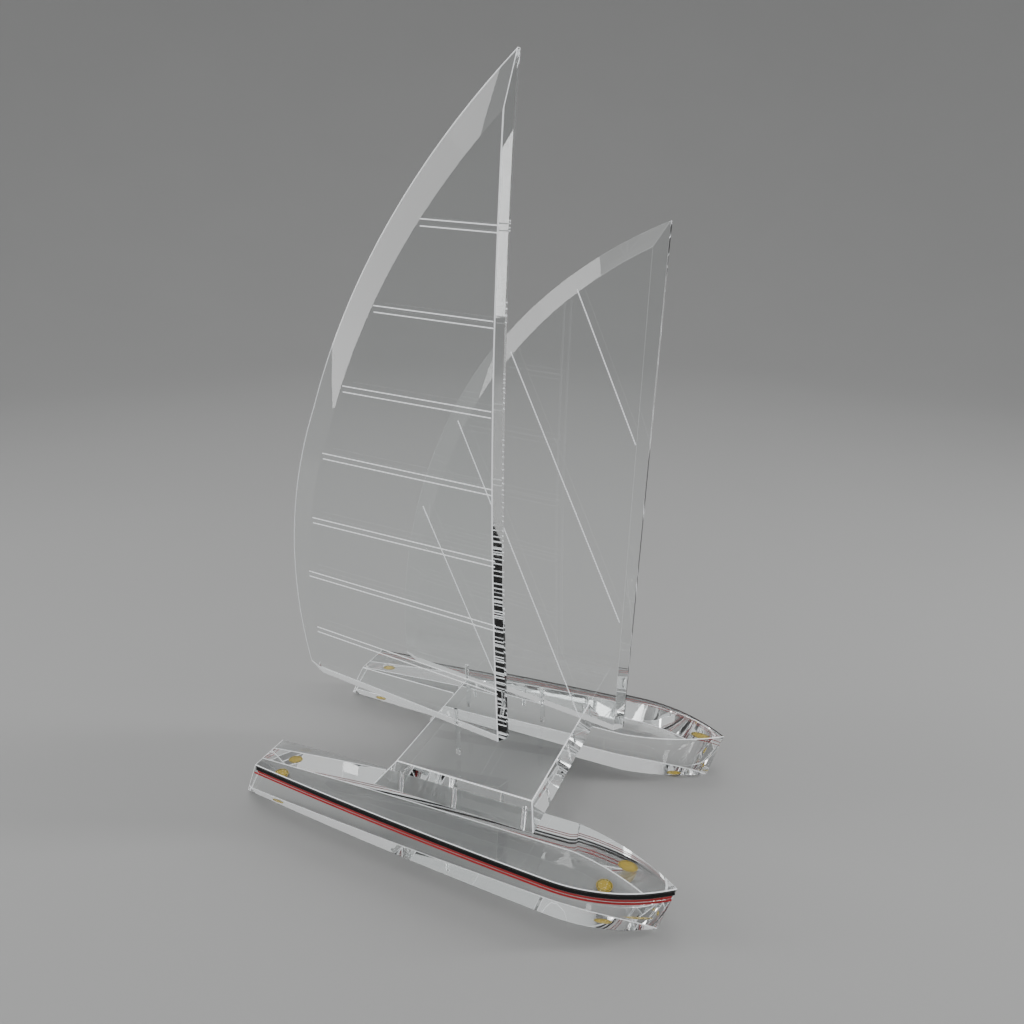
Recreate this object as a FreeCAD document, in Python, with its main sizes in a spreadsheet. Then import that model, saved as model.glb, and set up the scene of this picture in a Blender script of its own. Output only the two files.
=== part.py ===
import FreeCAD, Part
import math
import os
import Sketcher

# Clear catamaran display model.  +X is the bow, +Y is port, +Z is up, millimetres.
# The model stands on four bumper feet at z = 0, centred on the frame's Z axis.

doc = FreeCAD.newDocument("catamaran")
sheet = doc.addObject("Spreadsheet::Sheet", "Sizes")
V = FreeCAD.Vector
UP = V(0, 0, 1)
sizes = [
    # hulls: plan widths are measured from the line through each bow tip
    ("hull_long", 396), ("hull_deep", 45.8), ("hull_line", 97), ("stem_rake", 12.1),
    ("transom_rake", 25), ("stern_out", 8.7), ("stern_in", 26.5), ("shoulder_x", 110),
    ("shoulder_out", 30.3), ("shoulder_in", 34.5), ("side_out_bend", 4718),
    ("side_in_bend", 6851), ("bow_out_bend", 138), ("bow_in_bend", 192.5),
    # both sides lean in towards the keel, and the two meet in the raked stem
    ("lean_out", 10.1), ("lean_in", 6.6), ("keel_tip_y", -1.4),
    # pinstripes on the outboard sides
    ("stripe_top", 1), ("black_wide", 4.5), ("red_wide", 1.8), ("stripe_gap", 1.8),
    ("vinyl_thick", 0.25),
    # bumper feet: places are measured back from the bow tip, ahead from the stern and in from hull_line
    ("foot_high", 3), ("foot_wide", 12.7), ("foot_nose_wide", 9.6), ("foot_bend", 2.6),
    ("foot_ledge", 2.4), ("starboard_foot_back", 56), ("starboard_foot_in", 5.5),
    ("port_foot_back", 43), ("port_foot_in", 7), ("stern_foot_ahead", 34), ("stern_foot_in", 10),
    # bridge plate across both decks, bevelled all round
    ("plate_fore", 81.8), ("plate_aft", -64.4), ("plate_side_in", 8.4), ("plate_thick", 19.5),
    ("bevel_fore", 6.7), ("bevel_aft", 15.8), ("bevel_side", 13.6),
    # dowels that join the plate to the decks
    ("dowel_wide", 4), ("dowel_deep", 12), ("dowel_in", 20.5), ("dowel_aft_in", 22.4),
    ("dowel_mid_x", 8), ("dowel_fore_in", 11.8), ("dowel_slack", 0.05), ("dowel_short", 0.4),
    # sails: heights are above the decks
    ("sail_thick", 12.7), ("sail_land", 4.2),
    ("main_y", -39.7), ("main_tack_x", 37), ("main_tack_z", 42), ("main_head_x", 43),
    ("main_head_z", 552), ("main_knee_x", -132), ("main_knee_z", 308), ("main_clew_x", -157.6),
    ("main_clew_z", 68.5), ("main_luff_bend", 4335), ("main_roach_bend", 585),
    ("main_leech_bend", 386.5), ("main_face_tack_x", 32.5), ("main_face_head_x", 37),
    ("main_face_head_z", 517), ("main_face_knee_x", -110), ("main_face_knee_z", 300),
    ("main_face_clew_x", -139.5), ("main_face_roach_bend", 542), ("main_face_leech_bend", 410),
    ("jib_y", 32.5), ("jib_tack_x", 117), ("jib_tack_z", 28.2), ("jib_head_x", 128),
    ("jib_head_z", 451), ("jib_knee_x", -52), ("jib_knee_z", 280), ("jib_clew_x", -96.8),
    ("jib_clew_z", 56), ("jib_roach_bend", 339.6), ("jib_leech_bend", 461),
    ("jib_face_tack_x", 111), ("jib_face_head_x", 118.5), ("jib_face_head_z", 434),
    ("jib_face_knee_x", -36), ("jib_face_knee_z", 272), ("jib_face_clew_x", -79),
    ("jib_face_roach_bend", 325), ("jib_face_leech_bend", 443),
    # engraved lines
    ("line_wide", 0.8), ("line_deep", 0.4), ("batten_apart", 4.6),
    # sail pins, blind in the plate below and in the sail above
    ("pin_wide", 4), ("pin_in_plate", 10), ("pin_in_sail", 14), ("pin_slack", 0.08),
    ("main_pin_x", -8), ("jib_fore_pin_x", 42), ("jib_aft_pin_x", -30.5)]
derived = [
    ("bow_x", "hull_long / 2"), ("stern_x", "-hull_long / 2"), ("deck_z", "foot_high + hull_deep"),
    ("transom_x", "stern_x + transom_rake"), ("stem_x", "bow_x - stem_rake"),
    ("low_stern_out", "stern_out - lean_out"), ("low_stern_in", "stern_in - lean_in"),
    ("low_shoulder_out", "shoulder_out - lean_out"), ("low_shoulder_in", "shoulder_in - lean_in"),
    ("cut_x", "bow_x + 10"), ("cut_aft_x", "stern_x - 10"),
    ("skin_stern", "stern_out + vinyl_thick"), ("skin_shoulder", "shoulder_out + vinyl_thick"),
    ("black_low", "stripe_top + black_wide"),
    ("red_upper_low", "black_low + stripe_gap + red_wide"),
    ("red_lower_low", "red_upper_low + stripe_gap + red_wide"),
    ("plate_half", "hull_line - plate_side_in"),
    ("plate_top_fore", "plate_fore - bevel_fore"), ("plate_top_aft", "plate_aft + bevel_aft"),
    ("plate_top_half", "plate_half - bevel_side"), ("plate_top_z", "deck_z + plate_thick"),
    ("dowel_y", "hull_line - dowel_in"), ("dowel_hole", "dowel_wide / 2 + dowel_slack"),
    ("dowel_aft_x", "plate_aft + dowel_aft_in"), ("dowel_fore_x", "plate_fore - dowel_fore_in"),
    ("starboard_bow_foot_x", "bow_x - starboard_foot_back"),
    ("starboard_bow_foot_y", "starboard_foot_in - hull_line"),
    ("port_bow_foot_x", "bow_x - port_foot_back"), ("port_bow_foot_y", "hull_line - port_foot_in"),
    ("foot_stern_x", "stern_x + stern_foot_ahead"), ("foot_stern_y", "hull_line - stern_foot_in"),
    ("foot_rim", "foot_wide / 2"), ("foot_nose", "foot_nose_wide / 2"),
    ("sail_mid", "sail_thick / 2"), ("pin_hole", "pin_wide / 2 + pin_slack"),
    ("dowel_long", "dowel_deep * 2 - dowel_short"), ("dowel_low_z", "deck_z - dowel_long / 2"),
    ("pin_low_z", "plate_top_z - pin_in_plate"),
    ("main_slope", "(main_clew_z - main_tack_z) / (main_tack_x - main_clew_x)"),
    ("jib_slope", "(jib_clew_z - jib_tack_z) / (jib_tack_x - jib_clew_x)")]
for sail in ("main", "jib"):
    for corner in ("tack", "clew"):
        rise = "(%s_tack_x - %s_face_%s_x) * %s_slope" % (sail, sail, corner, sail)
        derived.append(("%s_face_%s_z" % (sail, corner), "%s_tack_z + %s" % (sail, rise)))
PINS = {"main": ["main_pin"], "jib": ["jib_fore_pin", "jib_aft_pin"]}
for sail, pins in PINS.items():
    for pin in pins:
        rise = "(%s_tack_x - %s_x) * %s_slope" % (sail, pin, sail)
        derived.append((pin + "_reach", "%s_tack_z + %s + pin_in_sail - plate_thick" % (sail, rise)))
        derived.append((pin + "_long", pin + "_reach + pin_in_plate"))
for row, (name, value) in enumerate(sizes + derived, start=1):
    sheet.set("A%d" % row, name)
    sheet.set("B%d" % row, "=" + value if isinstance(value, str) else str(value))
    sheet.setAlias("B%d" % row, name)
doc.recompute()

# engraved lines, as (aft, up, aft, up) fractions of each sail's foot length and head height
BATTENS = [(0.318, 0.8187, 0.023, 0.8130), (0.525, 0.7107, 0.039, 0.7009),
           (0.687, 0.5991, 0.049, 0.5864), (0.808, 0.4967, 0.047, 0.4801),
           (0.887, 0.3924, 0.036, 0.3755), (0.930, 0.3007, 0.034, 0.2754),
           (0.914, 0.2038, 0.026, 0.1701)]
SEAMS = [(0.247, 0.8922, 0.009, 0.6432), (0.494, 0.7827, 0.029, 0.3022),
         (0.703, 0.6519, 0.177, 0.0740), (0.869, 0.4736, 0.517, 0.0980)]
SAIL_BENDS = {
    "main": {"rim": {0: "+main_luff_bend", 1: "-main_roach_bend", 2: "-main_leech_bend"},
             "face": {0: "+main_luff_bend", 1: "-main_face_roach_bend", 2: "-main_face_leech_bend"}},
    "jib": {"rim": {1: "-jib_roach_bend", 2: "-jib_leech_bend"},
            "face": {1: "-jib_face_roach_bend", 2: "-jib_face_leech_bend"}}}


def size(name):
    sign = -1.0 if name.startswith("-") else 1.0
    return 0.0 if name == "0" else sign * float(sheet.get(name.lstrip("-")))


def term(name):
    return "-Sizes." + name[1:] if name.startswith("-") else "Sizes." + name


def tie(thing, path, name):
    if name != "0":
        thing.setExpression(path, term(name))


def place(thing, x="0", y="0", z="0"):
    thing.Placement = FreeCAD.Placement(V(size(x), size(y), size(z)), FreeCAD.Rotation())
    for axis, name in (("x", x), ("y", y), ("z", z)):
        tie(thing, "Placement.Base." + axis, name)
    return thing


def body(name, x="0", y="0", z="0"):
    made = doc.addObject("PartDesign::Body", name)
    made.Label = name
    return place(made, x, y, z)


def sketch(owner, name, plane, lift=None):
    made = owner.newObject("Sketcher::SketchObject", name)
    base = [f for f in owner.Origin.OriginFeatures if f.Role == plane][0]
    made.AttachmentSupport = (base, [""])
    made.MapMode = "FlatFace"
    if lift:
        made.AttachmentOffset = FreeCAD.Placement(V(0, 0, size(lift)), FreeCAD.Rotation())
        made.setExpression("AttachmentOffset.Base.z", term(lift))
    return made


def dimension(sk, kind, name, *where):
    at = sk.addConstraint(Sketcher.Constraint(kind, *where, size(name)))
    sk.setExpression("Constraints[%d]" % at, term(name))


def pin_point(sk, geo, pos, x, y):
    # ties both coordinates of a point to named sizes
    for kind, name, axis in (("DistanceX", x, -2), ("DistanceY", y, -1)):
        if name == "0":
            sk.addConstraint(Sketcher.Constraint("PointOnObject", geo, pos, axis))
        else:
            dimension(sk, kind, name, -1, 1, geo, pos)


def bow_edge(sk, a, b, bend):
    # an arc from a to b; "+" bulges to the left of its direction, "-" to the right
    left, radius = bend[0] == "+", size(bend[1:])
    half = (b - a) * 0.5
    reach = math.sqrt(radius ** 2 - half.Length ** 2)
    centre = a + half + V(-half.y, half.x, 0).normalize() * (-reach if left else reach)
    start, stop = (b, a) if left else (a, b)
    t0 = math.atan2(start.y - centre.y, start.x - centre.x)
    t1 = math.atan2(stop.y - centre.y, stop.x - centre.x)
    t1 = t1 + 2 * math.pi if t1 < t0 else t1
    geo = sk.addGeometry(Part.ArcOfCircle(Part.Circle(centre, UP, radius), t0, t1), False)
    dimension(sk, "Radius", bend[1:], geo)
    return (geo, 2, 1) if left else (geo, 1, 2)


def outline(sk, points, bends=None):
    # a closed profile through named points, straight except where bends names a radius
    bends, ends = bends or {}, []
    for i, (x, y) in enumerate(points):
        nx, ny = points[(i + 1) % len(points)]
        a, b = V(size(x), size(y), 0), V(size(nx), size(ny), 0)
        if i in bends:
            ends.append(bow_edge(sk, a, b, bends[i]))
        else:
            ends.append((sk.addGeometry(Part.LineSegment(a, b), False), 1, 2))
    for i, (geo, start, stop) in enumerate(ends):
        after = ends[(i + 1) % len(ends)]
        sk.addConstraint(Sketcher.Constraint("Coincident", geo, stop, after[0], after[1]))
        pin_point(sk, geo, start, *points[i])
    doc.recompute()


def disc(sk, x, y, radius):
    circle = Part.Circle(V(size(x), size(y), 0), UP, size(radius))
    geo = sk.addGeometry(circle, False)
    pin_point(sk, geo, 3, x, y)
    dimension(sk, "Radius", radius, geo)


def pad(owner, name, profile, length, back=False):
    made = owner.newObject("PartDesign::Pad", name)
    made.Profile = profile
    made.Length = size(length)
    tie(made, "Length", length)
    made.Reversed = back
    doc.recompute()


def pocket(owner, name, profile, length=None, back=False):
    before = owner.Shape.Volume
    made = owner.newObject("PartDesign::Pocket", name)
    made.Profile = profile
    made.Reversed = back
    if length:
        made.Length = size(length)
        tie(made, "Length", length)
    else:
        made.Type = "ThroughAll"
        made.Midplane = True
    doc.recompute()
    cut = before - owner.Shape.Volume
    print("%s: %s cuts %.1f mm3" % (owner.Label, name, cut))
    if cut <= 0:
        raise RuntimeError("pocket %s cuts nothing" % name)


def loft(owner, name, low, high):
    made = owner.newObject("PartDesign::AdditiveLoft", name)
    made.Profile = low
    made.Sections = [high]
    made.Ruled = True
    doc.recompute()


def rake(owner, name, deck, keel, beyond):
    # cuts off what lies beyond a line that leans from the deck to the keel
    side = sketch(owner, name + "_side", "XZ_Plane")
    outline(side, [(deck, "0"), (keel, "-hull_deep"), (beyond, "-hull_deep"), (beyond, "0")])
    pocket(owner, name, side)


def hull(side):
    # side is +1 for port and -1 for starboard; outboard is side * +Y
    name = SIDES[side] + "_hull"
    out, inn = ("", "-") if side > 0 else ("-", "")
    turn = "+" if side > 0 else "-"
    made = body(name, "0", out + "hull_line", "deck_z")
    rims = []
    for level, lift, low, tip in (("deck", None, "", ("bow_x", "0")),
                                  ("keel", "-hull_deep", "low_", ("stem_x", out + "keel_tip_y"))):
        rim = sketch(made, "%s_%s" % (name, level), "XY_Plane", lift)
        outline(rim, [("stern_x", out + low + "stern_out"), ("shoulder_x", out + low + "shoulder_out"), tip,
                      ("shoulder_x", inn + low + "shoulder_in"), ("stern_x", inn + low + "stern_in")],
                {0: turn + "side_out_bend", 1: turn + "bow_out_bend",
                 2: turn + "bow_in_bend", 3: turn + "side_in_bend"})
        rims.append(rim)
    loft(made, name + "_block", *rims)
    rake(made, name + "_transom", "transom_x", "stern_x", "cut_aft_x")
    holes = sketch(made, name + "_holes", "XY_Plane")
    for x in DOWEL_X:
        disc(holes, x, inn + "dowel_in", "dowel_hole")
    pocket(made, name + "_bores", holes, "dowel_deep")


def stripe(side, name, low, wide):
    name = SIDES[side] + name
    out, turn, back = ("", "+", "-") if side > 0 else ("-", "-", "+")
    made = body(name, "0", out + "hull_line", "deck_z")
    plan = sketch(made, name + "_plan", "XY_Plane", "-" + low)
    shift = "%d * Sizes.lean_out * Sizes.%s / Sizes.hull_deep" % (-side, low)
    plan.setExpression("AttachmentOffset.Base.y", shift)
    doc.recompute()
    outline(plan, [("stern_x", out + "skin_stern"), ("shoulder_x", out + "skin_shoulder"),
                   ("bow_x", out + "vinyl_thick"), ("bow_x", "0"),
                   ("shoulder_x", out + "shoulder_out"), ("stern_x", out + "stern_out")],
            {0: turn + "side_out_bend", 1: turn + "bow_out_bend",
             3: back + "bow_out_bend", 4: back + "side_out_bend"})
    pad(made, name + "_strip", plan, wide)
    # the strip leans with the hull's side
    strip = doc.getObject(name + "_strip")
    strip.UseCustomVector = True
    strip.AlongSketchNormal = True
    strip.Direction = V(0, side * size("lean_out"), size("hull_deep"))
    strip.setExpression("Direction.y", "%d * Sizes.lean_out" % side)
    strip.setExpression("Direction.z", "Sizes.hull_deep")
    doc.recompute()
    rake(made, name + "_stem", "bow_x", "stem_x", "cut_x")
    rake(made, name + "_transom", "transom_x", "stern_x", "cut_aft_x")


def foot(name, x, y):
    made = body(name, x, y)
    half = sketch(made, name + "_half", "XZ_Plane")
    outline(half, [("0", "0"), ("foot_nose", "0"), ("foot_rim", "foot_ledge"),
                   ("foot_rim", "foot_high"), ("0", "foot_high")], {1: "-foot_bend"})
    turn = made.newObject("PartDesign::Revolution", name + "_turned")
    turn.Profile = half
    turn.ReferenceAxis = (half, ["V_Axis"])
    turn.Angle = 360
    doc.recompute()


def bridge():
    made = body("deck_plate", "0", "0", "deck_z")
    rims = []
    for name, lift, fore, aft, half in (("deck_plate_base", None, "plate_fore", "plate_aft", "plate_half"),
                                        ("deck_plate_top", "plate_thick", "plate_top_fore",
                                         "plate_top_aft", "plate_top_half")):
        rim = sketch(made, name, "XY_Plane", lift)
        outline(rim, [(fore, half), (aft, half), (aft, "-" + half), (fore, "-" + half)])
        rims.append(rim)
    loft(made, "deck_plate_bevels", *rims)
    sockets = sketch(made, "deck_plate_sockets", "XY_Plane", "plate_thick")
    disc(sockets, "main_pin_x", "main_y", "pin_hole")
    for pin in PINS["jib"]:
        disc(sockets, pin + "_x", "jib_y", "pin_hole")
    pocket(made, "deck_plate_pin_bores", sockets, "pin_in_plate")
    below = sketch(made, "deck_plate_dowels", "XY_Plane")
    for sign in ("", "-"):
        for x in DOWEL_X:
            disc(below, x, sign + "dowel_y", "dowel_hole")
    pocket(made, "deck_plate_dowel_bores", below, "dowel_deep", back=True)


def rod(name, x, y, z, high, radius):
    made = doc.addObject("Part::Cylinder", name)
    made.Label = name
    made.Radius = size(radius) / 2
    made.Height = size(high)
    made.setExpression("Radius", term(radius) + " / 2")
    made.setExpression("Height", term(high))
    return place(made, x, y, z)


def groove(sk, x0, z0, x1, z1, wide):
    along = V(x1 - x0, z1 - z0, 0).normalize()
    side = V(-along.y, along.x, 0) * (wide / 2)
    a, b = V(x0, z0, 0), V(x1, z1, 0)
    corners = [a - side, b - side, b + side, a + side]
    first = sk.GeometryCount
    for i in range(4):
        sk.addGeometry(Part.LineSegment(corners[i], corners[(i + 1) % 4]), False)
    for i in range(4):
        sk.addConstraint(Sketcher.Constraint("Coincident", first + i, 2, first + (i + 1) % 4, 1))
        sk.addConstraint(Sketcher.Constraint("Block", first + i))


def sail(key, lines, drops):
    # local y = 0 is the port face; the bevelled, engraved face looks to starboard
    name = key + "_sail"
    made = body(name, "0", key + "_y", "deck_z")
    made.setExpression("Placement.Base.y", "Sizes.%s_y + Sizes.sail_mid" % key)
    doc.recompute()
    rims = []
    for part, lift, k in (("rim", "sail_land", key), ("face", "sail_thick", key + "_face")):
        rim = sketch(made, "%s_%s" % (name, part), "XZ_Plane", lift)
        outline(rim, [("%s_%s_x" % (k, c), "%s_%s_z" % (k, c)) for c in ("tack", "head", "knee", "clew")],
                SAIL_BENDS[key][part])
        rims.append(rim)
        if part == "rim":
            pad(made, name + "_land", rim, "sail_land", back=True)
    loft(made, name + "_bevels", *rims)
    marks = sketch(made, name + "_marks", "XZ_Plane", "sail_thick")
    tack, high = size(key + "_tack_x"), size(key + "_head_z")
    long = tack - size(key + "_clew_x")
    for drop in drops:
        for u0, v0, u1, v1 in lines:
            groove(marks, tack - u0 * long, v0 * high - drop, tack - u1 * long, v1 * high - drop,
                   size("line_wide"))
    doc.recompute()
    pocket(made, name + "_engraving", marks, "line_deep")
    for pin in PINS[key]:
        mouth = sketch(made, pin + "_mouth", "XY_Plane", "plate_thick")
        disc(mouth, pin + "_x", "-sail_mid", "pin_hole")
        pocket(made, pin + "_socket", mouth, pin + "_reach", back=True)


SIDES = {-1: "starboard", 1: "port"}
DOWEL_X = ("dowel_aft_x", "dowel_mid_x", "dowel_fore_x")
nodes = []
for side, word in SIDES.items():
    sign = "-" if side < 0 else ""
    hull(side)
    stripe(side, "_black_stripe", "black_low", "black_wide")
    stripe(side, "_upper_red_stripe", "red_upper_low", "red_wide")
    stripe(side, "_lower_red_stripe", "red_lower_low", "red_wide")
    foot(word + "_bow_foot", word + "_bow_foot_x", word + "_bow_foot_y")
    foot(word + "_stern_foot", "foot_stern_x", sign + "foot_stern_y")
    rods = [rod("%s_%s" % (word, x[:-2]), x, sign + "dowel_y", "dowel_low_z", "dowel_long", "dowel_wide")
            for x in DOWEL_X]
    joined = doc.addObject("Part::Compound", word + "_dowels")
    joined.Label = word + "_dowels"
    joined.Links = rods
    nodes += [word + n for n in ("_hull", "_black_stripe", "_upper_red_stripe", "_lower_red_stripe",
                                 "_bow_foot", "_stern_foot", "_dowels")]
bridge()
for key, pins in PINS.items():
    for pin in pins:
        rod(pin, pin + "_x", key + "_y", "pin_low_z", pin + "_long", "pin_wide")
sail("main", BATTENS, (0.0, size("batten_apart")))
sail("jib", SEAMS, (0.0,))
nodes += ["deck_plate", "main_pin", "jib_fore_pin", "jib_aft_pin", "main_sail", "jib_sail"]
doc.recompute()

for thing in doc.Objects:
    if "Invalid" in thing.State or "Error" in thing.State:
        raise RuntimeError("%s is in state %s" % (thing.Name, thing.State))
os.makedirs("parts", exist_ok=True)
for node in nodes:
    made = doc.getObject(node)
    shape = made.Shape
    if shape.isNull() or not shape.isValid() or not shape.Solids:
        raise RuntimeError("%s has no valid solid" % node)
    shape.exportStep("parts/%s.step" % node)
    box = shape.BoundBox
    print("%-28s %2d solid %9.1f mm3  x %7.1f %7.1f  y %7.1f %7.1f  z %6.1f %6.1f" % (
        node, len(shape.Solids), shape.Volume, box.XMin, box.XMax, box.YMin, box.YMax, box.ZMin, box.ZMax))
print("%d nodes written" % len(nodes))
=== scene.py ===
# %% [markdown]
# # A clear catamaran display model
# The real object is cut from sheets of clear cast acrylic: two hulls, one thick bevelled deck
# plate that bridges them, and two sails that stand on short pins.  The design comes in as a fixed
# frame, in metres, and nothing here moves it.  Every looks piece is built from the same sizes and
# then rides on the frame's bodies, so that a sail can still be lifted off its pins.

# %% Load the frame
import math

import bmesh
import bpy
from mathutils import Matrix, Vector


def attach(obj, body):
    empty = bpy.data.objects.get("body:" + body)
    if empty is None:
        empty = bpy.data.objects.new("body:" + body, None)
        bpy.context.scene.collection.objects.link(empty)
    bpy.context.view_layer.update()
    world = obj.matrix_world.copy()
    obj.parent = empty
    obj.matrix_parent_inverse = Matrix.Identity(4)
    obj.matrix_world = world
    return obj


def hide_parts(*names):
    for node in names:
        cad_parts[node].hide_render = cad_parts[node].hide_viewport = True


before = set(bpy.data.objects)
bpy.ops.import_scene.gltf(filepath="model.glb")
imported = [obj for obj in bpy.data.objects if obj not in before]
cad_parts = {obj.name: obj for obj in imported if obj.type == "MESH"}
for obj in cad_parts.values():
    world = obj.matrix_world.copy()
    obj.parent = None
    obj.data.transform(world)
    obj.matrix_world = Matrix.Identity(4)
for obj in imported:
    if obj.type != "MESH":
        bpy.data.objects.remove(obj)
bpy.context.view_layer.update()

MM = 0.001

# %% [markdown]
# ## The camera
# It stands off the starboard bow, a little below the height of the main sail's head, and looks down
# about twenty degrees.  The lens is wide, so the near hull looks longer than the far one.  The rotation
# is built from its three axes, because yaw, pitch and roll are then easy to read.

# %% Camera
YAW, PITCH, ROLL = (math.radians(a) for a in (23.1, 21.5, -0.3))
ahead = Vector((-math.sin(YAW) * math.cos(PITCH), math.cos(YAW) * math.cos(PITCH), -math.sin(PITCH)))
right = Vector((math.cos(YAW), math.sin(YAW), 0))
down = ahead.cross(right)
right, down = (right * math.cos(ROLL) + down * math.sin(ROLL), down * math.cos(ROLL) - right * math.sin(ROLL))
camera = bpy.data.objects.new("camera", bpy.data.cameras.new("camera"))
bpy.context.scene.collection.objects.link(camera)
camera.data.sensor_width, camera.data.lens = 36, 29.0
turned = Matrix((right, -down, -ahead)).transposed().to_4x4()
camera.matrix_world = Matrix.Translation((0.265, -0.564, 0.5208)) @ turned
bpy.context.scene.camera = camera
print("camera at", tuple(round(c, 3) for c in camera.location))

# %% [markdown]
# ## Outlines from straight edges and arcs
# Sheet acrylic is sawn to a drawn outline, and then the saw marks are sanded and flame polished.
# An outline here is a list of corners, and an edge between two corners may be an arc.  One helper
# turns such an edge into points, close enough together that clear plastic shows no facets.

# %% Arc helper
def arc(p, q, radius, steps, left):
    """Points from p up to, and not including, q; the arc bulges to the left or right of its way."""
    p, q = Vector(p), Vector(q)
    if not radius:
        return [p.lerp(q, i / steps) for i in range(steps)]
    half = (q - p) / 2
    off = Vector((-half.y, half.x)).normalized() * math.sqrt(radius ** 2 - half.length_squared)
    centre = p + half + (-off if left else off)
    a0 = math.atan2(p.y - centre.y, p.x - centre.x)
    a1 = math.atan2(q.y - centre.y, q.x - centre.x)
    turn = (a1 - a0 + math.pi) % (2 * math.pi) - math.pi
    return [centre + Vector((math.cos(a0 + turn * i / steps), math.sin(a0 + turn * i / steps))) * radius
            for i in range(steps)]


# %% Mesh helpers
def new_object(name, bm):
    bmesh.ops.recalc_face_normals(bm, faces=bm.faces)
    mesh = bpy.data.meshes.new(name)
    bm.to_mesh(mesh)
    bm.free()
    made = bpy.data.objects.new(name, mesh)
    bpy.context.scene.collection.objects.link(made)
    return made


def stack(rings):
    """A closed solid through rings that all have the same number of points."""
    bm = bmesh.new()
    rows = [[bm.verts.new(Vector(p) * MM) for p in ring] for ring in rings]
    for low, high in zip(rows, rows[1:]):
        for i in range(len(low)):
            j = (i + 1) % len(low)
            bm.faces.new((low[i], low[j], high[j], high[i]))
    bm.faces.new(rows[0])
    bm.faces.new(rows[-1])
    return bm


def settle(made):
    """Swaps the object's modifiers for the mesh that they give."""
    bpy.context.view_layer.update()
    seen = made.evaluated_get(bpy.context.evaluated_depsgraph_get())
    mesh = bpy.data.meshes.new_from_object(seen)
    made.modifiers.clear()
    made.data = mesh
    mesh.name = made.name
    return made


def smooth(made, degrees=14):
    """Curved walls shade smoothly, and every real edge stays crisp."""
    made.data.shade_smooth()
    made.data.set_sharp_from_angle(angle=math.radians(degrees))
    return made


def polish(made, width, turn=32):
    """Breaks each edge that turns by more than some degrees; the flat takes the second material, which
    carries the painted edge highlight.
    """
    for _ in range(2):
        made.data.materials.append(None)
    bevel = made.modifiers.new("arris", "BEVEL")
    bevel.material = 1
    bevel.width, bevel.segments, bevel.limit_method = width * MM, 1, "ANGLE"
    bevel.angle_limit = math.radians(turn)
    bevel.use_clamp_overlap = True
    return settle(made)


def drill(made, holes):
    """Cuts round holes; each is (x, y, low z, high z, radius) in millimetres."""
    bm = bmesh.new()
    for x, y, low, high, radius in holes:
        place = Matrix.Translation(Vector((x, y, (low + high) / 2)) * MM)
        bmesh.ops.create_cone(bm, cap_ends=True, segments=40, radius1=radius * MM, radius2=radius * MM,
                              depth=(high - low) * MM, matrix=place)
    cutter = new_object("cutter", bm)
    cut = made.modifiers.new("holes", "BOOLEAN")
    cut.operation, cut.solver, cut.object = "DIFFERENCE", "EXACT", cutter
    settle(made)
    bpy.data.objects.remove(cutter)
    return made


def report(made):
    print(made.name, len(made.data.polygons), "faces,", [round(d / MM, 1) for d in made.dimensions], "mm")
    return made


# %% [markdown]
# ## The hulls
# Each hull is one block: a flat deck, sides that lean in towards the keel and meet in a raked
# stem, and a transom that slopes forward as it rises.  The deck's outline is moved inwards side by
# side to give the keel's outline, walls join the two, and a plane cuts the transom, which is also
# how the block is sawn.  The three dowel holes are drilled last, so that their rims stay sharp.

# %% Hull plan
HULL_LINE, KEEL, DECK = 97.0, 3.0, 48.8
STERN, SHOULDER, BOW = -198.0, 110.0, 198.0
TRANSOM_RAKE, STEM_RAKE = 25.0, 12.1
LEAN_OUT, LEAN_IN, KEEL_TIP = 10.1, 6.6, -1.4
STERN_OUT, SHOULDER_OUT = 8.7, 30.3
STERN_IN, SHOULDER_IN = 26.5, 34.5
SIDE_OUT_RADIUS, BOW_OUT_RADIUS = 4718, 138
SIDE_IN_RADIUS, BOW_IN_RADIUS = 6851, 192.5
SIDE_STEPS, BOW_STEPS, TRANSOM_STEPS = 60, 40, 6
DOWELS_X, DOWEL_Y = (-42.0, 8.0, 70.0), 76.5
DOWEL_HOLE, DOWEL_DEEP, CUT_PAST = 2.05, 12, 2
ARRIS = 0.6


def outboard_edge(side, drop=0.0, skin=0.0):
    """The outboard edge from stern to bow, that far below the deck, as plan points."""
    base = side * (HULL_LINE - LEAN_OUT * drop / (DECK - KEEL) + skin)
    stern, shoulder = (STERN, base + side * STERN_OUT), (SHOULDER, base + side * SHOULDER_OUT)
    tip, left = (BOW, base), side > 0
    return (arc(stern, shoulder, SIDE_OUT_RADIUS, SIDE_STEPS, left)
            + arc(shoulder, tip, BOW_OUT_RADIUS, BOW_STEPS, left) + [Vector(tip)])


def outline(side, lean_out=0.0, lean_in=0.0, tip=(BOW, 0.0)):
    """A closed level outline of the hull, whose two sides are moved in by their leans."""
    base, left = side * HULL_LINE, side > 0
    corners = [((STERN, STERN_OUT - lean_out), SIDE_OUT_RADIUS, SIDE_STEPS),
               ((SHOULDER, SHOULDER_OUT - lean_out), BOW_OUT_RADIUS, BOW_STEPS),
               (tip, BOW_IN_RADIUS, BOW_STEPS),
               ((SHOULDER, lean_in - SHOULDER_IN), SIDE_IN_RADIUS, SIDE_STEPS),
               ((STERN, lean_in - STERN_IN), 0, TRANSOM_STEPS)]
    points = []
    for i, ((x, y), radius, steps) in enumerate(corners):
        u, v = corners[(i + 1) % 5][0]
        points += arc((x, base + side * y), (u, base + side * v), radius, steps, left)
    return points


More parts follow.
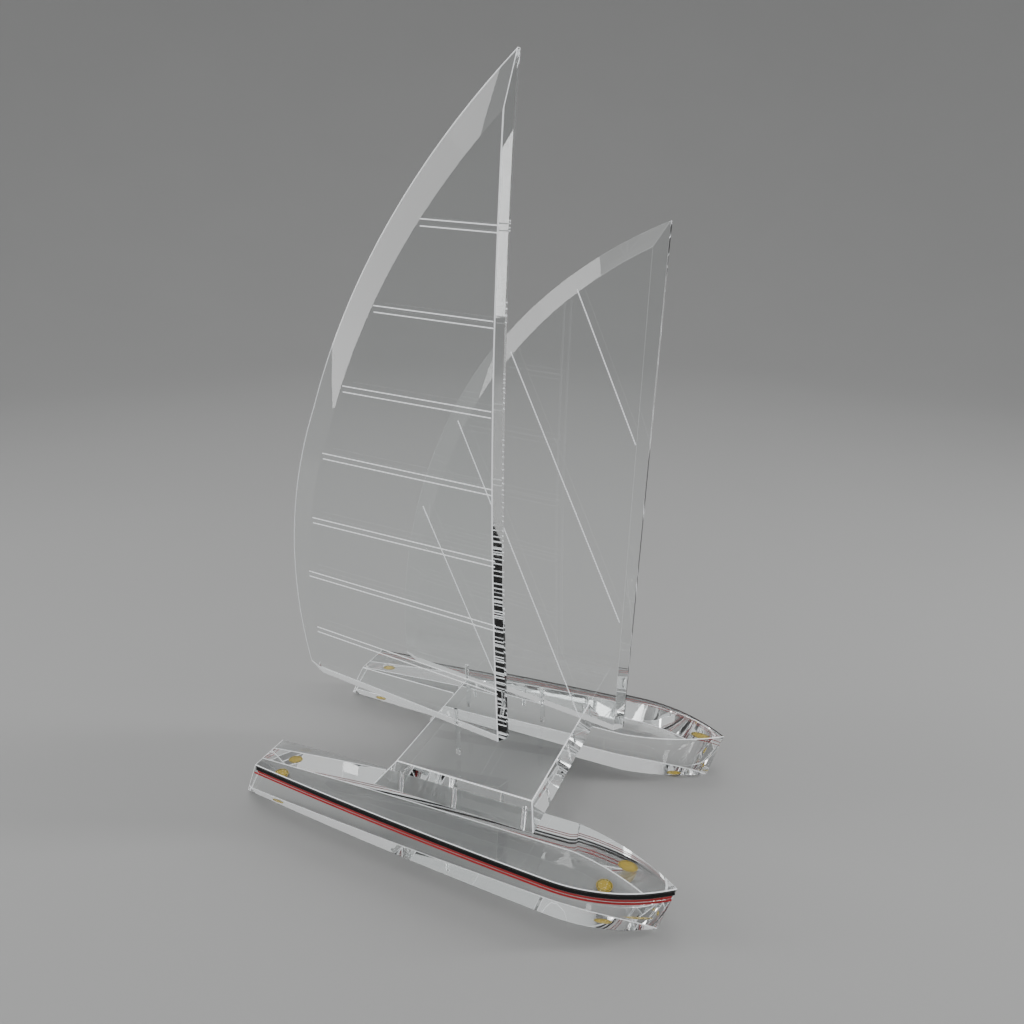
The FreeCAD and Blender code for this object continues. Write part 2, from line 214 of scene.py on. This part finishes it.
def hull(name, side):
    deck = outline(side)
    keel = outline(side, LEAN_OUT, LEAN_IN, (BOW - STEM_RAKE, KEEL_TIP))
    bm = stack([[(p.x, p.y, z) for p in ring] for z, ring in ((KEEL, keel), (DECK, deck))])
    slope = Vector((KEEL - DECK, 0, TRANSOM_RAKE)).normalized()
    cut = bmesh.ops.bisect_plane(bm, geom=bm.verts[:] + bm.edges[:] + bm.faces[:], dist=1e-7,
                                 plane_co=Vector((STERN + TRANSOM_RAKE, 0, DECK)) * MM, plane_no=slope,
                                 clear_outer=True)
    bmesh.ops.contextual_create(bm, geom=[e for e in cut["geom_cut"] if isinstance(e, bmesh.types.BMEdge)])
    bmesh.ops.remove_doubles(bm, verts=bm.verts, dist=1e-6)
    made = polish(new_object(name, bm), ARRIS)
    drill(made, [(x, side * DOWEL_Y, DECK - DOWEL_DEEP, DECK + CUT_PAST, DOWEL_HOLE) for x in DOWELS_X])
    return report(smooth(made))


hulls = {side: hull(word + "_hull_block", side) for side, word in ((-1, "starboard"), (1, "port"))}

# %% [markdown]
# ## The deck plate
# A thick clear plate lies across both decks and holds the boat together.  All four of its edges
# are bevelled, the aft one the widest, so it is a simple stack of two rectangles.  It sinks a few
# hundredths of a millimetre into the decks, because a cemented joint has no air in it.

# %% Deck plate
PLATE_THICK, JOINT = 19.5, 0.03
PLATE_TOP = DECK + PLATE_THICK
PINS = {"main_pin": (-8.0, -39.7), "jib_fore_pin": (42.0, 32.5), "jib_aft_pin": (-30.5, 32.5)}
PLATE_FOOT, PLATE_CROWN = (81.8, -64.4, 88.6), (75.1, -48.6, 75.0)
PIN_RADIUS, PIN_HOLE, PIN_LEAD_IN = 2.0, 2.08, 0.4
PIN_DEEP, PIN_UP = 10, 14


def rectangle(fore, aft, half, z):
    """A level rectangle between two places along the boat, as wide to port as to starboard."""
    return [(fore, half, z), (aft, half, z), (aft, -half, z), (fore, -half, z)]


plate = new_object("deck_plate_slab", stack([rectangle(*PLATE_FOOT, DECK - JOINT),
                                             rectangle(*PLATE_CROWN, PLATE_TOP)]))
polish(plate, ARRIS)
drill(plate, [(x, y, PLATE_TOP - PIN_DEEP, PLATE_TOP + CUT_PAST, PIN_HOLE) for x, y in PINS.values()]
      + [(x, s * DOWEL_Y, DECK - CUT_PAST, DECK + DOWEL_DEEP, DOWEL_HOLE)
         for x in DOWELS_X for s in (-1, 1)])
report(smooth(plate))

# %% [markdown]
# ## The sails
# Each sail is half-inch sheet.  Its port face is the full outline, and its starboard face is a
# smaller outline, so a broad bevel runs up the leech and a narrow one up the luff.  A thin square
# land is left at the back.  Both outlines have the same number of points from corner to corner,
# so the bevel between them is a fan of flat strips too narrow to see.

# %% Sail outlines
SAILS = {
    "main": {"y": -39.7,
             "rim": [((37, 42), 4335, True), ((43, 552), 585, False), ((-132, 308), 386.5, False),
                     ((-157.6, 68.5), 0, False)],
             "face": [((32.5, 42.61), 4335, True), ((37, 517), 542, False), ((-110, 300), 410, False),
                      ((-139.5, 66.04), 0, False)]},
    "jib": {"y": 32.5,
            "rim": [((117, 28.2), 0, True), ((128, 451), 339.6, False), ((-52, 280), 461, False),
                    ((-96.8, 56), 0, False)],
            "face": [((111, 28.98), 0, True), ((118.5, 434), 325, False), ((-36, 272), 443, False),
                     ((-79, 53.69), 0, False)]}}
THICK, LAND, STEPS = 12.7, 4.2, (48, 64, 64, 4)
FOOT_CUT_PAST = 3


def sail_outline(corners):
    points = []
    for i, (p, radius, left) in enumerate(corners):
        points += arc(p, corners[(i + 1) % 4][0], radius, STEPS[i], left)
    return points


def foot_height(key, x):
    """The height of a sail's foot above the decks."""
    (x0, z0), (x1, z1) = SAILS[key]["rim"][0][0], SAILS[key]["rim"][3][0]
    return z0 + (x - x0) * (z1 - z0) / (x1 - x0)


def sail(key):
    back = SAILS[key]["y"] + THICK / 2
    rim, face = (sail_outline(SAILS[key][k]) for k in ("rim", "face"))
    made = new_object(key + "_sail_slab", stack([[(p.x, y, p.y + DECK) for p in ring] for y, ring in
                                                 ((back, rim), (back - LAND, rim), (back - THICK, face))]))
    polish(made, ARRIS)
    feet = [(x, y, DECK + foot_height(key, x)) for name, (x, y) in PINS.items() if name.startswith(key)]
    drill(made, [(x, y, foot - FOOT_CUT_PAST, foot + PIN_UP, PIN_HOLE) for x, y, foot in feet])
    return report(smooth(made))


sails = {key: sail(key) for key in SAILS}

# %% [markdown]
# ## The pins
# A turned rod of clear acrylic stands in a blind hole in the plate and goes up into the sail's
# foot.  Each one is lathed from a short profile with a small lead-in at both ends.

# %% Pins
def lathe(profile, centre, segments=48):
    bm = bmesh.new()
    rows = []
    for r, z in profile:
        ring = [Vector((r * math.cos(t), r * math.sin(t), z)) + Vector(centre)
                for t in (2 * math.pi * i / segments for i in range(segments))]
        rows.append([bm.verts.new(p * MM) for p in ring])
    for low, high in zip(rows, rows[1:]):
        for i in range(segments):
            j = (i + 1) % segments
            bm.faces.new((low[i], low[j], high[j], high[i]))
    bm.faces.new(rows[0])
    bm.faces.new(rows[-1])
    return bm


pins = {}
for name, (x, y) in PINS.items():
    key = name.split("_")[0]
    low, high = PLATE_TOP - PIN_DEEP, DECK + foot_height(key, x) + PIN_UP
    tip = PIN_RADIUS - PIN_LEAD_IN
    profile = [(tip, low), (PIN_RADIUS, low + PIN_LEAD_IN), (PIN_RADIUS, high - PIN_LEAD_IN), (tip, high)]
    pins[name] = report(smooth(new_object(name + "_rod", lathe(profile, (x, y, 0))), 30))

# %% [markdown]
# ## One tree for every ribbon
# The pinstripes are tape that follows the hull's side, and the battens and seams are shallow
# engraved lines that follow a drawn path.  Both are a flat ribbon swept along a path, so a single
# Geometry Nodes tree makes them: the path becomes a curve, its normals are held level, and a
# rectangle is swept along it.  The widths are inputs of the tree.

# %% Ribbon tree
def tree_named(name, sizes):
    tree = bpy.data.node_groups.new(name, "GeometryNodeTree")
    tree.interface.new_socket("Geometry", in_out="INPUT", socket_type="NodeSocketGeometry")
    for label, kind, value in sizes:
        made = tree.interface.new_socket(label, in_out="INPUT", socket_type=kind)
        if value is not None:
            made.default_value = value
    tree.interface.new_socket("Geometry", in_out="OUTPUT", socket_type="NodeSocketGeometry")
    return tree, tree.nodes.new("NodeGroupInput"), tree.nodes.new("NodeGroupOutput")


def add(tree, kind, links=None, **settings):
    node = tree.nodes.new(kind)
    for key, value in settings.items():
        setattr(node, key, value)
    for socket, source in (links or {}).items():
        if isinstance(source, bpy.types.NodeSocket):
            tree.links.new(source, node.inputs[socket])
        else:
            node.inputs[socket].default_value = source
    return node


ribbon, given, result = tree_named("Ribbon along a path", [
    ("Thickness", "NodeSocketFloat", 0.0003), ("Width", "NodeSocketFloat", 0.003),
    ("Lean", "NodeSocketFloat", 0.0), ("Material", "NodeSocketMaterial", None)])
path = add(ribbon, "GeometryNodeMeshToCurve", {"Mesh": given.outputs["Geometry"]})
level = add(ribbon, "GeometryNodeSetCurveNormal", {"Curve": path.outputs[0]}, mode="Z_UP")
profile = add(ribbon, "GeometryNodeCurvePrimitiveQuadrilateral",
              {"Width": given.outputs["Thickness"], "Height": given.outputs["Width"]})
leant = add(ribbon, "GeometryNodeSetCurveTilt", {"Curve": level.outputs[0], "Tilt": given.outputs["Lean"]})
sweep = add(ribbon, "GeometryNodeCurveToMesh", {"Curve": leant.outputs[0],
                                                "Profile Curve": profile.outputs[0], "Fill Caps": True})
whole = add(ribbon, "GeometryNodeRealizeInstances", {"Geometry": sweep.outputs[0]})
painted = add(ribbon, "GeometryNodeSetMaterial", {"Geometry": whole.outputs[0],
                                                  "Material": given.outputs["Material"]})
ribbon.links.new(painted.outputs[0], result.inputs[0])
print("ribbon tree", len(ribbon.nodes), "nodes")


def grow(name, paths, tree, values):
    """A plain mesh from a tree that is given paths; values are set by each input's identifier."""
    mesh = bpy.data.meshes.new(name)
    points, edges = [], []
    for line in paths:
        edges += [(len(points) + i, len(points) + i + 1) for i in range(len(line) - 1)]
        points += [Vector(p) * MM for p in line]
    mesh.from_pydata(points, edges, [])
    made = bpy.data.objects.new(name, mesh)
    bpy.context.scene.collection.objects.link(made)
    maker = made.modifiers.new("grown", "NODES")
    maker.node_group = tree
    for item in tree.interface.items_tree:
        if item.in_out == "INPUT" and item.name in values:
            maker[item.identifier] = values[item.name]
    settle(made)
    bm = bmesh.new()
    bm.from_mesh(made.data)
    bmesh.ops.remove_doubles(bm, verts=bm.verts, dist=1e-7)
    bmesh.ops.recalc_face_normals(bm, faces=bm.faces)
    bm.to_mesh(made.data)
    bm.free()
    return report(smooth(made, 25))


# %% [markdown]
# ## Shader sums written as sums
# A material's pattern is mostly arithmetic on numbers that vary over the surface.  This small
# class wraps a socket, so that `0.01 + 0.03 * smudge` adds the Math nodes by itself.  Any other
# node comes from one method of the paint it belongs to.

# %% Sockets with arithmetic
class Value:
    def __init__(self, paint, socket):
        self.paint, self.socket = paint, socket

    def sum_of(self, kind, a, b):
        return self.paint.node("ShaderNodeMath", {"operation": kind}, {0: a, 1: b})

    def __add__(self, other):
        return self.sum_of("ADD", self, other)

    def __radd__(self, other):
        return self.sum_of("ADD", other, self)

    def __rsub__(self, other):
        return self.sum_of("SUBTRACT", other, self)

    def __mul__(self, other):
        return self.sum_of("MULTIPLY", self, other)

    def __rmul__(self, other):
        return self.sum_of("MULTIPLY", other, self)

    def least(self, other):
        return self.sum_of("MINIMUM", self, other)


class Paint:
    """One material: its nodes, and the shader that they end in."""

    def __init__(self, name, slot):
        self.material, self.slot = bpy.data.materials.new(name), slot
        self.material.use_nodes = True
        self.tree = self.material.node_tree
        self.shader = self.tree.nodes["Principled BSDF"]
        self.place = self.node("ShaderNodeTexCoord", {}, {}, "Object")

    def feed(self, node, values):
        for name, value in values.items():
            if isinstance(value, Value):
                self.tree.links.new(value.socket, node.inputs[name])
            else:
                node.inputs[name].default_value = value

    def node(self, kind, settings, values, out=0):
        made = self.tree.nodes.new(kind)
        for name, value in settings.items():
            setattr(made, name, value)
        self.feed(made, values)
        return Value(self, made.outputs[out])

    def noise(self, scale, detail=2.0, stretch=(1, 1, 1), turn=(0, 0, 0)):
        where = self.node("ShaderNodeMapping", {}, {"Vector": self.place, "Scale": stretch, "Rotation": turn})
        return self.node("ShaderNodeTexNoise", {}, {"Vector": where, "Scale": scale, "Detail": detail}, "Fac")

    def mask(self, value, low, high):
        """0 below low and 1 above high."""
        return self.node("ShaderNodeMapRange", {}, {"Value": value, "From Min": low, "From Max": high})

    def mix(self, share, a, b):
        a, b = (c if isinstance(c, Value) else (*c, 1) for c in (a, b))
        return self.node("ShaderNodeMix", {"data_type": "RGBA"}, {"Factor": share, 6: a, 7: b}, 2)

    def distance(self, spot):
        """How far each point of the surface is from one place, in metres."""
        return self.node("ShaderNodeVectorMath", {"operation": "DISTANCE"}, {0: self.place, 1: spot}, "Value")

    def bump(self, height, strength, distance):
        return self.node("ShaderNodeBump", {}, {"Height": height, "Strength": strength, "Distance": distance})

    def set(self, **values):
        self.feed(self.shader, {k.replace("_", " "): v for k, v in values.items()})
        print("paint", self.material.name, len(self.tree.nodes), "nodes")
        return self


# %% [markdown]
# ## Clear cast acrylic
# The sheet is almost perfectly clear.  What makes it look real is small: a soft haze where hands
# have touched it, hair-fine scratches from dusting, and the faint waviness that a flame leaves.
# The haze and scratches only change roughness, so the object stays clear between them.

# %% Clear acrylic
def clear_acrylic(name, slot, haze, haze_scale):
    paint = Paint(name, slot)
    smudge = paint.mask(paint.noise(haze_scale, 3), 0.55, 0.8)
    scuffs = [paint.mask(paint.noise(60, 1, stretch, turn), 0.71, 0.76) for stretch, turn in
              (((1, 1, 14), (0.3, 0.5, 0.2)), ((12, 1, 1), (0.1, 0.9, 0.4)))]
    scratch = scuffs[0] + scuffs[1]
    wave = paint.noise(18, 1)
    tint = paint.mix(paint.noise(6), (0.985, 0.995, 0.992), (0.96, 0.98, 0.978))
    return paint.set(Base_Color=tint, Roughness=0.004 + haze * smudge + 0.05 * scratch,
                     Transmission_Weight=1.0, IOR=1.49, Normal=paint.bump(wave, 0.08, 0.0004))


sheet_paint = clear_acrylic("polished_sheet_acrylic", "clear_acrylic", 0.03, 7)
block_paint = clear_acrylic("polished_block_acrylic", "clear_acrylic", 0.02, 11)

# %% Clear rod
rod_paint = Paint("clear_rod", "clear_rod")
rings = rod_paint.noise(30, 1, (1, 1, 60))
rod_paint.set(Base_Color=rod_paint.mix(rings, (0.97, 0.98, 0.98), (0.9, 0.92, 0.92)),
              Roughness=0.03 + 0.08 * rings, Transmission_Weight=1.0, IOR=1.49,
              Normal=rod_paint.bump(rings, 0.15, 0.0002))

# %% [markdown]
# ## Engraving, tape and bumpers
# A cutter leaves the bottom of an engraved line frosted, so it reads as a white line.  The arrises
# are painted a frosted white as a painted highlight along every edge, and the sanded dowels are
# frosted too, but less.  A weak painted glow stands in for the light that runs inside the sheet and
# comes out where it is cut.  The tape is vinyl with a soft shine, and is a little uneven from being
# pressed on by hand.  The bumpers are soft, cloudy amber plastic with small bubbles in it, and a
# dark ring runs just inside the edge of each one's top.

# %% Engraved line, and the arris with its painted highlight
def frosted_with_painted_glow(name, painted_glow, through):
    """Frosted plastic with a painted glow, which stands in for the light that runs inside the sheet and comes
    out where it is cut.
    """
    paint = Paint(name, "clear_acrylic")
    grain = paint.noise(2500, 2)
    return paint.set(Base_Color=paint.mix(grain, (0.98, 0.99, 1.0), (0.86, 0.88, 0.9)),
                     Roughness=0.4 + 0.3 * grain, Transmission_Weight=through, IOR=1.49,
                     Emission_Color=(0.95, 0.98, 1.0, 1), Emission_Strength=painted_glow,
                     Normal=paint.bump(grain, 0.5, 0.0001))


engraved = frosted_with_painted_glow("frosted_engraving", 0.55, 0.0)
# The arrises are polished clear; this frosted white and its glow are a painted highlight on every edge flat.
arris_painted_highlight = frosted_with_painted_glow("scraped_arris", 0.5, 0.2)
dowel_paint = frosted_with_painted_glow("sanded_dowel", 0.1, 0.3)

# %% Vinyl tape
def vinyl(name, slot, dark, light, gloss):
    paint = Paint(name, slot)
    ripple, dust = paint.noise(90, 2, (0.3, 1, 1)), paint.mask(paint.noise(900, 2), 0.6, 0.8)
    return paint.set(Base_Color=paint.mix(ripple, dark, light), Roughness=gloss + 0.1 * ripple + 0.2 * dust,
                     Specular_IOR_Level=0.3, Coat_Weight=0.12, Coat_Roughness=0.1,
                     Normal=paint.bump(ripple, 0.12, 0.0002))


black_paint = vinyl("black_pinstripe_vinyl", "black_vinyl", (0.001, 0.001, 0.001), (0.004, 0.004, 0.004), 0.3)
red_paint = vinyl("red_pinstripe_vinyl", "red_vinyl", (0.56, 0.02, 0.024), (0.68, 0.045, 0.05), 0.3)

# %% Amber bumper
BOW_BUMPERS = {-1: (142, -91.5, 0), 1: (155, 90, 0)}
STERN_BUMPERS = {side: (-164, side * 87, 0) for side in (-1, 1)}
BUMPER_TOP = 3
amber_paint = Paint("amber_bumper", "amber_rubber")
bubbles = amber_paint.mask(amber_paint.noise(700, 2), 0.56, 0.66)
top = [Vector((x, y, BUMPER_TOP)) * MM for x, y, _ in (*BOW_BUMPERS.values(), *STERN_BUMPERS.values())]
radius = amber_paint.distance(top[0])
for spot in top[1:]:
    radius = radius.least(amber_paint.distance(spot))
rim = amber_paint.mask(radius, 0.0048, 0.0053) * (1 - amber_paint.mask(radius, 0.0057, 0.006))
gold = amber_paint.mix(bubbles, (0.9, 0.62, 0.04), (0.98, 0.84, 0.32))
amber_paint.set(Base_Color=amber_paint.mix(rim, gold, (0.3, 0.24, 0.03)),
                Roughness=0.25 + 0.3 * bubbles, Transmission_Weight=0.2, IOR=1.48,
                Normal=amber_paint.bump(bubbles, 0.3, 0.0003))

# %% [markdown]
# ## Pinstripes
# One black and two red tapes run side by side along each hull's outboard side, just under the deck.
# Their paths are the deck's own edge, moved down, and they stop at the raked stem and transom.

# %% Pinstripes
TAPE, TAPE_SINK = 0.25, 0.02
STRIPES = {"_black_tape": (1.0, 4.5, black_paint, "_black_stripe"),
           "_upper_red_tape": (7.3, 1.8, red_paint, "_upper_red_stripe"),
           "_lower_red_tape": (10.9, 1.8, red_paint, "_lower_red_stripe")}


def dress(piece, paint, body, *nodes, edge=None):
    """Gives the piece its paint, its body and the design nodes that it stands for."""
    if edge:
        piece.data.materials[0], piece.data.materials[1] = paint.material, edge.material
    else:
        piece.data.materials.clear()
        piece.data.materials.append(paint.material)
    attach(piece, body)
    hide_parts(*nodes)
    return piece


for side, word in ((-1, "starboard"), (1, "port")):
    for tape, (drop, width, paint, node) in STRIPES.items():
        z = DECK - drop - width / 2
        aft = STERN + TRANSOM_RAKE * (z - KEEL) / (DECK - KEEL)
        fore = BOW - STEM_RAKE * (DECK - z) / (DECK - KEEL)
        line = outboard_edge(side, DECK - z, TAPE / 2 - TAPE_SINK)
        edge = [(p.x, p.y, z) for p in line if aft < p.x < fore]
        piece = grow(word + tape, [edge], ribbon, {
            "Thickness": TAPE * MM, "Width": width * MM, "Material": paint.material,
            "Lean": side * math.atan2(LEAN_OUT, DECK - KEEL)})
        dress(piece, paint, "boat", word + node)

# %% [markdown]
# ## Engraved battens and seams
# The main sail has seven pairs of batten lines, and the jib has four slanting seams.  They are cut
# into the starboard faces, so the ribbons lie just under the surface and only their faces show.

# %% Engraved lines
BATTENS = [((-24.9, 451.9), (32.5, 448.8)), ((-65.2, 392.3), (29.4, 386.9)),
           ((-96.7, 330.7), (27.5, 323.7)), ((-120.2, 274.2), (27.9, 265.0)),
           ((-135.6, 216.6), (30.0, 207.3)), ((-144.0, 166.0), (30.4, 152.0)),
           ((-140.9, 112.5), (31.9, 93.9))]
SEAMS = [((64.2, 402.4), (115.1, 290.1)), ((11.4, 353.0), (110.8, 136.3)),
         ((-33.3, 294.0), (79.2, 33.4)), ((-68.8, 213.6), (6.5, 44.2))]
BATTEN_GAP, CUT_THICK, CUT_WIDE, CUT_UNDER = 4.6, 0.4, 0.8, 0.18
LINES = {"main": [(p, q, drop) for p, q in BATTENS for drop in (0, BATTEN_GAP)],
         "jib": [(p, q, 0) for p, q in SEAMS]}
for key, lines in LINES.items():
    face = SAILS[key]["y"] - THICK / 2 + CUT_UNDER
    paths = [[(x0, face, z0 - drop + DECK), (x1, face, z1 - drop + DECK)]
             for (x0, z0), (x1, z1), drop in lines]
    piece = grow(key + "_sail_engraving", paths, ribbon, {
        "Thickness": CUT_THICK * MM, "Width": CUT_WIDE * MM, "Material": engraved.material})
    dress(piece, engraved, key)

# %% [markdown]
# ## Dowels and bumpers on their points
# Six dowels and four bumpers are each one shape set down at several places, which is what the
# Instance on Points node is for.  The tree takes the points and the shape, and ends in plain mesh.

# %% Points tree
scatter, given, result = tree_named("Shape on points", [
    ("Shape", "NodeSocketObject", None), ("Material", "NodeSocketMaterial", None)])
dots = add(scatter, "GeometryNodeMeshToPoints", {"Mesh": given.outputs["Geometry"]})
shape = add(scatter, "GeometryNodeObjectInfo", {"Object": given.outputs["Shape"]})
copies = add(scatter, "GeometryNodeInstanceOnPoints", {"Points": dots.outputs[0],
                                                       "Instance": shape.outputs["Geometry"]})
whole = add(scatter, "GeometryNodeRealizeInstances", {"Geometry": copies.outputs[0]})
painted = add(scatter, "GeometryNodeSetMaterial", {"Geometry": whole.outputs[0],
                                                   "Material": given.outputs["Material"]})
scatter.links.new(painted.outputs[0], result.inputs[0])


def set_down(name, profile, points, paint, *nodes):
    shape = new_object("shape", lathe(profile, (0, 0, 0)))
    piece = grow(name, [[p] for p in points], scatter, {"Shape": shape, "Material": paint.material})
    bpy.data.objects.remove(shape)
    return dress(piece, paint, "boat", *nodes)


# %% Dowels and bumpers
dowel = [(1.7, -11.8), (2, -11.5), (2, 11.5), (1.7, 11.8)]
bumper = [(4.8, 0), (5.5, 0.35), (6.0, 1.0), (6.25, 1.7), (6.35, 2.4), (6.35, 3.02)]
for side, word in ((-1, "starboard"), (1, "port")):
    set_down(word + "_dowel_rods", dowel, [(x, side * DOWEL_Y, DECK) for x in DOWELS_X], dowel_paint,
             word + "_dowels")
    set_down(word + "_bumpers", bumper, [BOW_BUMPERS[side], STERN_BUMPERS[side]], amber_paint,
             word + "_bow_foot", word + "_stern_foot")

# %% Clear pieces on their bodies
# The flats of their arrises take the painted-highlight material.
for side, word in ((-1, "starboard"), (1, "port")):
    dress(hulls[side], block_paint, "boat", word + "_hull", edge=arris_painted_highlight)
dress(plate, block_paint, "boat", "deck_plate", edge=arris_painted_highlight)
for key in SAILS:
    dress(sails[key], sheet_paint, key, key + "_sail", edge=arris_painted_highlight)
for name, pin in pins.items():
    dress(pin, rod_paint, "boat", name)

# %% [markdown]
# ## Floor and light
# Clear plastic shows only what it bends and mirrors, so the light matters more than the paint.
# The floor is a plain grey that sweeps up into a round wall, and the room is bright and even.  One
# wide lamp overhead and two upright strips give the polished edges something to pick up.

# %% Floor
FLOOR_RADIUS, COVE, WALL = 2.0, 1.9, 2.2
AROUND, SWEEP = 96, 24
turns = [2 * math.pi * i / AROUND for i in range(AROUND)]
climb = [math.radians(90 * i / SWEEP) for i in range(SWEEP + 1)]
profile = [(FLOOR_RADIUS + COVE * math.sin(t), COVE * (1 - math.cos(t))) for t in climb]
profile.append((FLOOR_RADIUS + COVE, WALL))
bm = bmesh.new()
rows = [[bm.verts.new((r * math.cos(t), r * math.sin(t), z)) for t in turns] for r, z in profile]
bm.faces.new(rows[0])
for low, high in zip(rows, rows[1:]):
    for i in range(AROUND):
        bm.faces.new((low[i], low[i - 1], high[i - 1], high[i]))
floor = smooth(new_object("floor", bm), 40)
floor_paint = Paint("plain_floor", None)
floor_paint.set(Base_Color=floor_paint.mix(floor_paint.noise(3), (0.36, 0.36, 0.357), (0.345, 0.345, 0.342)),
                Roughness=0.75)
floor.data.materials.append(floor_paint.material)


# %% Lights
def lamp(name, spot, aim, width, height, power):
    light = bpy.data.lights.new(name, "AREA")
    light.shape, light.size, light.size_y, light.energy = "RECTANGLE", width, height, power
    made = bpy.data.objects.new(name, light)
    bpy.context.scene.collection.objects.link(made)
    away = Vector(spot) - Vector(aim)
    made.matrix_world = Matrix.Translation(spot) @ away.to_track_quat("Z", "Y").to_matrix().to_4x4()


lamp("overhead", (-0.2, -0.1, 2.3), (0, 0, 0.2), 1.4, 1.0, 16)
lamp("left_strip", (-1.5, -0.7, 0.9), (0, 0, 0.3), 0.4, 1.5, 10)
lamp("right_strip", (1.4, 0.6, 1.0), (0, 0, 0.3), 0.16, 1.5, 14)
world = bpy.data.worlds.new("room")
bpy.context.scene.world = world
world.use_nodes = True
air = world.node_tree.nodes["Background"]
air.inputs["Color"].default_value = (0.72, 0.725, 0.73, 1)
air.inputs["Strength"].default_value = 0.95
paths = bpy.context.scene.cycles
paths.max_bounces, paths.transmission_bounces, paths.glossy_bounces = 28, 24, 12
